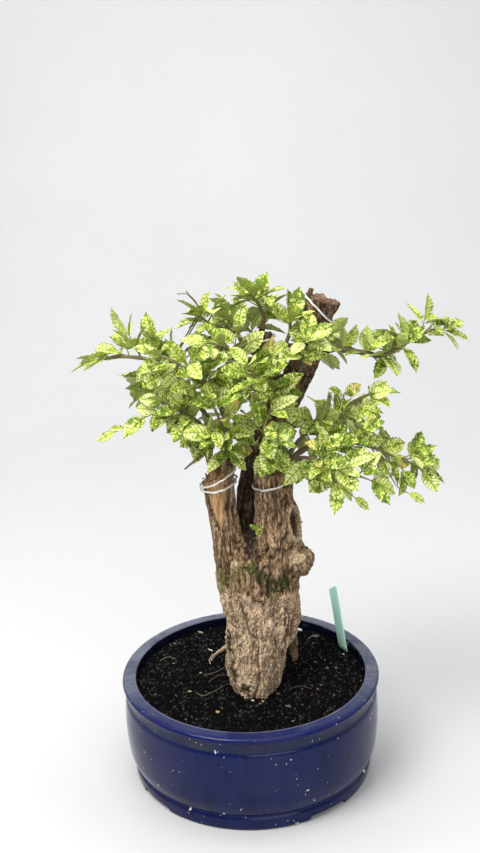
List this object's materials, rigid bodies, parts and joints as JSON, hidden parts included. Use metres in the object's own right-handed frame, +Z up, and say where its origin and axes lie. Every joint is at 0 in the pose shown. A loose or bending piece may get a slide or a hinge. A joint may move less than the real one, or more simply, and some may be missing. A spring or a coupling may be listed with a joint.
{
  "type": "potted bonsai tree",
  "caption": "Small tree trained as a bonsai: an old stubby forked trunk with sawn tops and a crown of toothed, cream-mottled leaves, in a round glazed pot with feet.",
  "frame": {"origin": "middle of the whole object's box in X and Y, on the surface that the pot stands on", "axes": "+Z up, along the tree's height; -Y towards the side seen in the picture; +X to its right"},
  "size_m": [0.3708, 0.2566, 0.5023],
  "materials": {
    "pot": "dark blue gloss glaze, worn matte on the rim",
    "drain_mesh": "matte black plastic screen",
    "soil": "loose dark granules",
    "trunk": "flaking ridged bark with weathered bare wood",
    "leaf": "satin living leaf, green mottled with cream",
    "wire": "soft satin",
    "label": "mint green plastic"
  },
  "bodies": {
    "root": {"pot": "pot", "drain_mesh": "drain_mesh", "soil": "soil", "trunk": "trunk", "label": "label", "wire_left_stub": "wire", "wire_right_stub": "wire", "wire_leaning_stem": "wire", "wire_back_stub": "wire", "spray_left_high": "leaf", "spray_left_mid": "leaf", "spray_left_low": "leaf", "spray_front_left": "leaf", "spray_front_mid": "leaf", "spray_centre": "leaf", "spray_mid": "leaf", "spray_top": "leaf", "spray_top_left": "leaf", "spray_top_right": "leaf", "spray_over_stub": "leaf", "spray_long_right": "leaf", "spray_right_mid": "leaf", "spray_right_low": "leaf", "spray_right_front": "leaf", "spray_back_left": "leaf", "spray_back_right": "leaf", "spray_back_mid": "leaf", "spray_back_top": "leaf", "spray_back_out": "leaf"}
  },
  "joints": []
}
